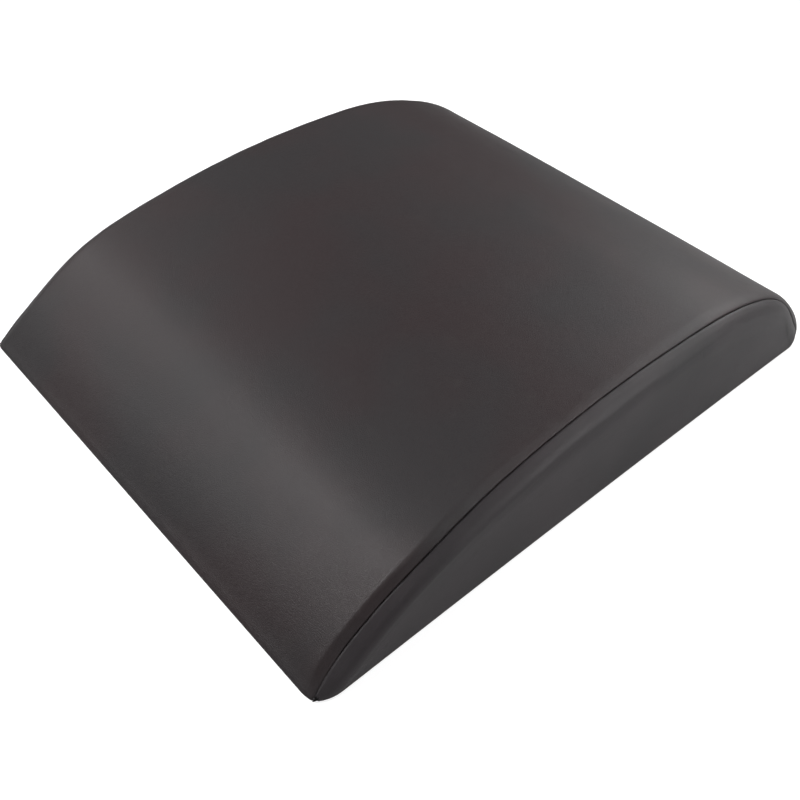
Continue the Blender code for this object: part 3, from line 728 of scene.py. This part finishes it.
def sideLevels(seamTopX, seamTopZ):
    # heights of each column's rows: close together under the seam, then even down to the foot
    own, footRoll = sidePanel, coverForm["footRoll"]
    slope = abs(np.gradient(seamTopZ)) / np.maximum(abs(np.gradient(seamTopX)), own["leastStep"])
    steep = np.hypot(1, np.minimum(slope, own["steepest"]))
    drops = np.array(own["drops"])
    shares = (np.linspace(0, 1, len(drops)) ** own["dropPower"]) * own["dropShare"]
    levels = seamTopZ - np.minimum(drops[:, None] * steep, shares[:, None] * (seamTopZ - footRoll))
    rest = np.linspace(0, 1, own["restRows"] + 1)[1:, None]
    return np.concatenate([levels, levels[-1] + (footRoll - levels[-1]) * rest])


def sideRelief(x, z, gap):
    # the band over the folded seam allowance, the puckers, the dip beside the seam and the slack below
    own, footRoll = sidePanel, coverForm["footRoll"]
    edge = own["bandWidth"] + own["bandWander"] * wrinkles(x, z, own["bandForm"])
    extra = own["band"] * (1 - ease(gap, edge, edge + own["bandFade"]))
    extra = extra + own["pucker"] * puckers(x, z, own) * np.exp(-gap / own["puckerFade"])
    extra = extra - own["dip"] * np.exp(-(gap / own["dipWidth"]) ** 2)
    belly = own["belly"] * wrinkles(x, z, own["bellyForm"])
    extra = extra + belly * ease(gap, *own["bellyGap"]) * ease(z, *own["bellyHeight"])
    stillLow, stillHigh = own["stillShares"]
    return extra * ease(z, footRoll * stillLow, footRoll * stillHigh) - groove(gap)


def makeSide(name, side):
    (seamX, _, seamZ), _ = seamLine(np.linspace(0, outlineLength, coverForm["samples"]), side)
    tip = int(np.argmax(seamX * (seamZ >= coverForm["footRoll"])))
    end = thinEnd(side)
    place = np.linspace(outlineLength * tip / (len(seamX) - 1), end, sidePanel["columns"])
    (seamTopX, seamTopY, seamTopZ), seamOut = seamLine(place, side)
    levels = sideLevels(seamTopX, seamTopZ)
    # under its foremost place the seam runs back a little, and the columns near it lean with it
    branch = np.interp(levels, seamZ[:tip + 1], seamX[:tip + 1])
    lean = (seamX[tip] - branch) * (1 - ease(seamX[tip] - seamTopX, 0.0, sidePanel["tallLean"]))
    last = int(np.ceil(end / outlineLength * (len(seamX) - 1)))
    branch = np.interp(levels, seamZ[:last:-1], seamX[:last:-1])
    fade = 1 - ease(seamTopX - seamTopX[-1], 0.0, sidePanel["thinLean"])
    lean = lean - np.minimum(branch - seamTopX[-1], 0) * fade
    points, out, gap = sideAt(seamTopX - lean, levels, seamX, seamZ)
    # the panel is drawn in to its sewn edge
    near = (1 - ease(gap, 0, sidePanel["drawWidth"]))[..., None]
    points[..., 1] += (abs(seamTopY) - points[0, :, 1]) * near[..., 0]
    out = out * (1 - near) + seamOut * np.array([1, side, 1]) * near
    points, gap = withFoot(points, out, gap)
    x, _, z = np.moveaxis(points, 2, 0)
    points = raised(points, (0, 1, 0), sideRelief(x, z, gap)) * np.array([1, side, 1])
    leatherSheet("sidePanel" + name, points, (0, side, 0), "leather_side", leatherSideToneAndPaintedLight,
                 "cover_side_panel_" + name.lower())


makeSide("Left", 1)
makeSide("Right", -1)
print("side panels laid")

# base panel: grip cloth with rubber dots, its edge turned
basePanel = {"hem": 0.0042, "hemStep": 0.0006, "hemDepth": 0.00022, "edge": 0.0003}
gripDots = {"pitch": 0.0090, "rowShare": 0.866, "radius": 0.0017, "tipShare": 0.62, "sides": 10,
            "sunk": 0.0001, "margin": 0.004, "shift": 0.002, "cornerReach": 0.022, "cornerLeast": 0.013}


def makeBase():
    work = copied("cover_base_panel")
    bottom = min(work.faces, key=lambda face: face.normal.z - face.calc_area())
    for thickness, depth in ((basePanel["hem"], 0.0), (basePanel["hemStep"], -basePanel["hemDepth"])):
        bmesh.ops.inset_region(work, faces=[bottom], thickness=thickness, depth=depth, use_even_offset=True)
    base = pieceFrom(work, "basePanel", smooth=False)
    softenEdges(base, basePanel["edge"])
    dress(base, "mat", "grip_base", gripWeave, "cover_base_panel")


def makeDots():
    own, pitch = gripDots, gripDots["pitch"]
    low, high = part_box("cover_base_panel")
    rim, depth = basePanel["hem"] + own["margin"], basePanel["hemDepth"] + own["sunk"]
    dot = bmesh.new()
    bmesh.ops.create_cone(dot, cap_ends=True, segments=own["sides"], radius1=own["radius"] * own["tipShare"],
                          radius2=own["radius"], depth=depth, matrix=Matrix.Translation((0, 0, depth / 2)))
    pattern = patternMesh(dot, "dot")
    dots = bmesh.new()
    rows = int((high.y - low.y - 2 * rim) / (pitch * own["rowShare"]))
    columns = int((high.x - low.x - 2 * rim) / pitch)
    for row in range(rows + 1):
        for column in range(columns + 1 - row % 2):
            x = low.x + rim + (column + 0.5 * (row % 2)) * pitch + own["shift"]
            y = (row - rows / 2) * pitch * own["rowShare"]
            corner = (max(0, abs(x) - halfLength + own["cornerReach"])
                      + max(0, abs(y) - halfWidth + own["cornerReach"]))
            if x <= high.x - rim and corner <= own["cornerLeast"]:
                stamp(dots, pattern, Matrix.Translation((x, y, 0)))
    bpy.data.meshes.remove(pattern)
    dress(pieceFrom(dots, "gripDots", smooth=False), "mat", "grip_base", gripDot)


makeBase()
makeDots()
print("base made")

# foam block inside
foamBlock = {"cuts": 1, "unevenness": 0.00025, "scale": 60}


def makeFoam():
    work = copied("foam_core")
    bmesh.ops.triangulate(work, faces=work.faces)
    bmesh.ops.subdivide_edges(work, edges=work.edges, cuts=foamBlock["cuts"], use_grid_fill=True)
    work.normal_update()
    for vert in work.verts:
        vert.co -= vert.normal * foamBlock["unevenness"] * (1 + noise.noise(vert.co * foamBlock["scale"]))
    foam = dress(pieceFrom(work, "foamBlock"), "mat", "foam", foamCells, "foam_core")


makeFoam()
print("foam made")

# zip: its own frame runs along it, up across it and out of the tape's face
tapeX = flatX - zipForm["tapeDepth"] * leanOut
tapeZ = zipForm["height"] - zipForm["tapeDepth"] * leanUp
zipPlace = Matrix(((0, -leanUp, leanOut, tapeX), (1, 0, 0, 0), (0, leanOut, leanUp, tapeZ), (0, 0, 0, 1)))
halves = (("Upper", 1), ("Lower", -1))
chain = {
    "start": -0.1007, "end": 0.1012, "pitch": 0.0016, "firstShare": 0.4, "endGap": 0.0003,
    "shiftShares": {"Upper": 0.0, "Lower": 0.5}, "wire": 0.00034, "wireSides": 6, "ring": 0.001,
    "ringSteps": 10, "weld": 0.00001, "loopHigh": 0.00046, "overlap": 0.0006, "spine": 0.0019,
    "lift": 0.0010, "twist": 0.10, "spread": 0.0018, "spreadStart": 0.0907, "spreadEnd": 0.0977}
cord = {"half": 0.00066, "columns": 7, "lift": 0.0008, "bulge": 0.0003, "thickness": 0.0002}


def onZip(points):
    return points @ np.array(zipPlace.to_3x3()).T + np.array(zipPlace.translation)


def rowMiddle(x):
    # a coil's middle above the zip's own: the two rows part round the slider's rest place
    share = (x - chain["spreadStart"]) / (chain["spreadEnd"] - chain["spreadStart"])
    return chain["spread"] * min(max(share, 0), 1) + (chain["spine"] - chain["overlap"]) / 2


def makeCord(name, sign):
    # the cord that each coil is wound round
    along = np.array([chain["start"], chain["spreadStart"], chain["spreadEnd"], chain["end"]])
    middle = np.array([rowMiddle(x) for x in along])[:, None]
    along, across = np.meshgrid(along, np.linspace(-1, 1, cord["columns"]), indexing="ij")
    high = cord["lift"] + cord["bulge"] * (1 - across * across)
    points = onZip(np.stack([along, sign * (middle + across * cord["half"]), high], axis=-1))
    piece = thicken(laid("zipCord" + name, points, (1, 0, 0)), cord["thickness"])
    dress(piece, "mat", "zip_teeth", tapeWeave)


def coilTurn():
    # one turn of the coil is a flat oval ring across the zip, with no thickness along it: the circle is
    # spun about the axis that it lies square to
    ring, radius = bmesh.new(), chain["ring"]
    bmesh.ops.create_circle(ring, segments=chain["wireSides"], radius=chain["wire"],
                            matrix=Matrix.Rotation(math.pi / 2, 4, "X"))
    bmesh.ops.translate(ring, verts=ring.verts, vec=(radius, 0, 0))
    bmesh.ops.spin(ring, geom=ring.verts[:] + ring.edges[:], cent=(0, 0, 0), axis=(0, 1, 0), dvec=(0, 0, 0),
                   angle=2 * math.pi, steps=chain["ringSteps"], use_merge=True, use_duplicate=False)
    bmesh.ops.remove_doubles(ring, verts=ring.verts, dist=chain["weld"])
    bmesh.ops.recalc_face_normals(ring, faces=ring.faces)
    bmesh.ops.transform(ring, matrix=Matrix.Rotation(math.pi / 2, 4, "Z"), verts=ring.verts)
    reach = (chain["spine"] + chain["overlap"]) / 2
    for vert in ring.verts:
        thick = math.hypot(vert.co.y, vert.co.z) - radius
        angle = math.atan2(vert.co.z, vert.co.y)
        vert.co.y = math.cos(angle) * (reach - chain["wire"] + thick)
        vert.co.z = math.sin(angle) * (chain["loopHigh"] + thick)
    return patternMesh(ring, "ring")


def makeChain():
    pattern = coilTurn()
    for name, sign in halves:
        coil = bmesh.new()
        twist = Matrix.Rotation(sign * chain["twist"], 4, "Z")
        x = chain["start"] + chain["pitch"] * (chain["firstShare"] + chain["shiftShares"][name])
        while x < chain["end"] - chain["endGap"]:
            stamp(coil, pattern, Matrix.Translation((x, sign * rowMiddle(x), chain["lift"])) @ twist)
            x += chain["pitch"]
        bmesh.ops.transform(coil, matrix=zipPlace, verts=coil.verts)
        dress(pieceFrom(coil, "zipCoil" + name), "mat", "zip_teeth", coilNylon, "zip_teeth_" + name.lower())
        makeCord(name, sign)
    bpy.data.meshes.remove(pattern)


makeChain()

tape = {"inner": 0.0012, "width": 0.0064, "half": 0.1105, "thickness": 0.0004, "columns": 222, "rows": 8,
        "closed": 0.1018, "closing": 0.0020, "selvage": (0.003, 0.007), "meetingGap": 0.00005,
        "wave": 0.00010, "waveForm": (60, 60, 2.0), "waveAcross": (0.003, 0.006)}


def makeTapes():
    for name, sign in halves:
        along, across = np.meshgrid(np.linspace(-tape["half"], tape["half"], tape["columns"]),
                                    np.linspace(tape["inner"], tape["inner"] + tape["width"], tape["rows"]))
        # past the chain the two tapes meet
        met = ease(abs(along), tape["closed"], tape["closed"] + tape["closing"])
        met = met * (1 - ease(across, *tape["selvage"]))
        across = across - (tape["inner"] - tape["meetingGap"]) * met
        wave = tape["wave"] * (1 + wrinkles(along, across, tape["waveForm"], sign))
        points = onZip(np.stack([along, sign * across, -wave * ease(across, *tape["waveAcross"])], axis=-1))
        strip = thicken(laid("zipTape" + name, points, (1, 0, 0)), tape["thickness"])
        dress(strip, "mat", "zip_tape", tapeWeave, "zip_tape_" + name.lower())


makeTapes()

# slider, pull and stops keep their CAD shape, with edges softened by the width at each line's end
zipMetal = {
    "segments": 3, "angle": 25,
    "pieces": [("zip_slider", "zipSlider", "slider", "zip_metal", blackEnamel, 0.00018),
               ("zip_pull_tab", "zipPull", "pull", "zip_metal", blackEnamel, 0.00014),
               ("zip_top_stop_upper", "zipTopStopUpper", "mat", "stop_metal", stopSteel, 0.00010),
               ("zip_top_stop_lower", "zipTopStopLower", "mat", "stop_metal", stopSteel, 0.00010),
               ("zip_bottom_stop", "zipBottomStop", "mat", "stop_metal", stopSteel, 0.00010)]}


def makeMetal():
    for node, name, body, slot, look, width in zipMetal["pieces"]:
        piece = pieceFrom(copied(node), name)
        softenEdges(piece, width, zipMetal["segments"], zipMetal["angle"])
        dress(piece, body, slot, look, node)


makeMetal()
print("zip made")

# stitching
stitch = {"length": 0.0031, "gap": 0.0008, "radius": 0.00034, "zipLine": 0.0024, "around": 6, "rings": 5,
          "pathPoints": 3}


def stitchRow(name, path, outward):
    # stitches along a path of points, each lying half sunk along it
    spans = [(end - start).length for start, end in zip(path, path[1:])]
    pitch = stitch["length"] + stitch["gap"]
    dome = bmesh.new()
    bmesh.ops.create_uvsphere(dome, u_segments=stitch["around"], v_segments=stitch["rings"], radius=1.0)
    pattern = patternMesh(dome, "stitch")
    size = Matrix.Diagonal((stitch["radius"], stitch["radius"], stitch["length"] / 2, 1))
    work = bmesh.new()
    for number in range(int(sum(spans) / pitch)):
        left, span = pitch * (number + 0.5), 0
        while span < len(spans) - 1 and left > spans[span]:
            left -= spans[span]
            span += 1
        heading = (path[span + 1] - path[span]).normalized()
        side = Vector(outward).cross(heading).normalized()
        turn = Matrix((side, heading.cross(side), heading)).transposed().to_4x4()
        turn.translation = path[span] + heading * left
        stamp(work, pattern, turn @ size)
    bpy.data.meshes.remove(pattern)
    dress(pieceFrom(work, name), "mat", "zip_tape", thread)


def makeStitching():
    half = zipForm["length"] / 2 + zipForm["slotReach"]
    for name, sign in halves:
        up = sign * (zipForm["slotHeight"] / 2 + stitch["zipLine"])
        path = [zipPlace @ Vector((x, up, zipForm["tapeDepth"]))
                for x in np.linspace(-half, half, stitch["pathPoints"])]
        stitchRow("zipStitching" + name, path, (leanOut, 0, leanUp))


makeStitching()
print("stitching made")

# floor, world and lights. The floor lies just above the underside, which is lit and seen from below.
# A box of light has a name, an azimuth and elevation in degrees, a size and a power
studio = {
    "world": 0.10, "floorSize": 4.0, "floorLevel": 0.0004, "floor": (0.50, 0.50, 0.50), "floorRough": 0.9,
    "floorGlow": 0.72, "glossyGlow": 0.06, "floorFade": (0.30, 0.75), "distance": 1.5,
    "boxes": [
        ("endWall", 0, 32, 0.9, 11.0), ("farRight", 45, 32, 0.9, 1.0), ("farWall", 90, 32, 0.9, 2.0),
        ("farLeft", 135, 32, 0.9, 1.6), ("glintCrease", 114, 32, 0.5, 3.0), ("thinWall", 180, 32, 0.9, 0.5),
        ("nearWall", 270, 32, 0.9, 1.0), ("sideRight", 315, 32, 0.9, 3.2), ("aboveRight", 315, 62, 0.8, 2.6),
        ("above", 0, 90, 0.9, 0.4), ("glintLeft", 150, 48, 0.5, 12.5), ("glintSide", 300, 12, 0.5, 6.0),
        ("glintBand", 325, 30, 0.5, 3.0), ("glintThin", 232, 42, 0.4, 2.0), ("below", 0, -90, 0.9, 8.0)]}


def makeFloor():
    work = bmesh.new()
    bmesh.ops.create_grid(work, x_segments=1, y_segments=1, size=studio["floorSize"],
                          matrix=Matrix.Translation((0, 0, studio["floorLevel"])))
    floor = pieceFrom(work, "floor")
    look = Finish("floorWhite")
    seen = look.node("ShaderNodeLightPath", {}, {}, "Is Camera Ray")
    mirrored = look.node("ShaderNodeLightPath", {}, {}, "Is Glossy Ray")
    # away from the mat the floor turns into the white of the backdrop
    reach = look.node("ShaderNodeVectorMath", {"operation": "LENGTH"}, {0: look.place}, "Value")
    away = look.ramp(reach, *studio["floorFade"])
    tint = look.mix(away, studio["floor"], (0.0, 0.0, 0.0))
    glow = seen * (studio["floorGlow"] + (1 - studio["floorGlow"]) * away) + mirrored * studio["glossyGlow"]
    inputs = {"Base Color": tint, "Roughness": studio["floorRough"], "Specular IOR Level": 0.0,
              "Emission Color": (1, 1, 1, 1), "Emission Strength": glow}
    for key, value in inputs.items():
        look.feed(look.shader.inputs[key], value)
    under = look.node("ShaderNodeNewGeometry", {}, {}, "Backfacing")
    clear = look.node("ShaderNodeBsdfTransparent", {}, {})
    both = look.node("ShaderNodeMixShader", {}, {0: under, 1: Wire(look, look.shader.outputs[0]), 2: clear})
    look.feed(look.tree.nodes["Material Output"].inputs["Surface"], both)
    floor.data.materials.append(look.material)


def makeWorld():
    # white to the camera and dim to everything else
    world = bpy.context.scene.world or bpy.data.worlds.new("world")
    bpy.context.scene.world = world
    world.use_nodes = True
    tree = world.node_tree
    back = tree.nodes["Background"]
    back.inputs["Color"].default_value = (1, 1, 1, 1)
    path = tree.nodes.new("ShaderNodeLightPath")
    level = tree.nodes.new("ShaderNodeMapRange")
    level.inputs["To Min"].default_value = studio["world"]
    level.inputs["To Max"].default_value = 1.0
    tree.links.new(path.outputs["Is Camera Ray"], level.inputs["Value"])
    tree.links.new(level.outputs[0], back.inputs["Strength"])


def softbox(name, azimuth, elevation, size, power):
    azimuth, elevation = math.radians(azimuth), math.radians(elevation)
    away = Vector((math.cos(azimuth) * math.cos(elevation), math.sin(azimuth) * math.cos(elevation),
                   math.sin(elevation)))
    light = bpy.data.lights.new(name, "AREA")
    light.shape = "SQUARE"
    light.size = size
    light.energy = power
    holder = bpy.data.objects.new(name, light)
    holder.location = away * studio["distance"]
    holder.rotation_mode = "QUATERNION"
    holder.rotation_quaternion = (-away).to_track_quat("-Z", "Y")
    bpy.context.scene.collection.objects.link(holder)


makeFloor()
makeWorld()
for box in studio["boxes"]:
    softbox(*box)
print("studio lit")

settings = bpy.context.scene.view_settings
settings.view_transform = "Standard"
print("finished")
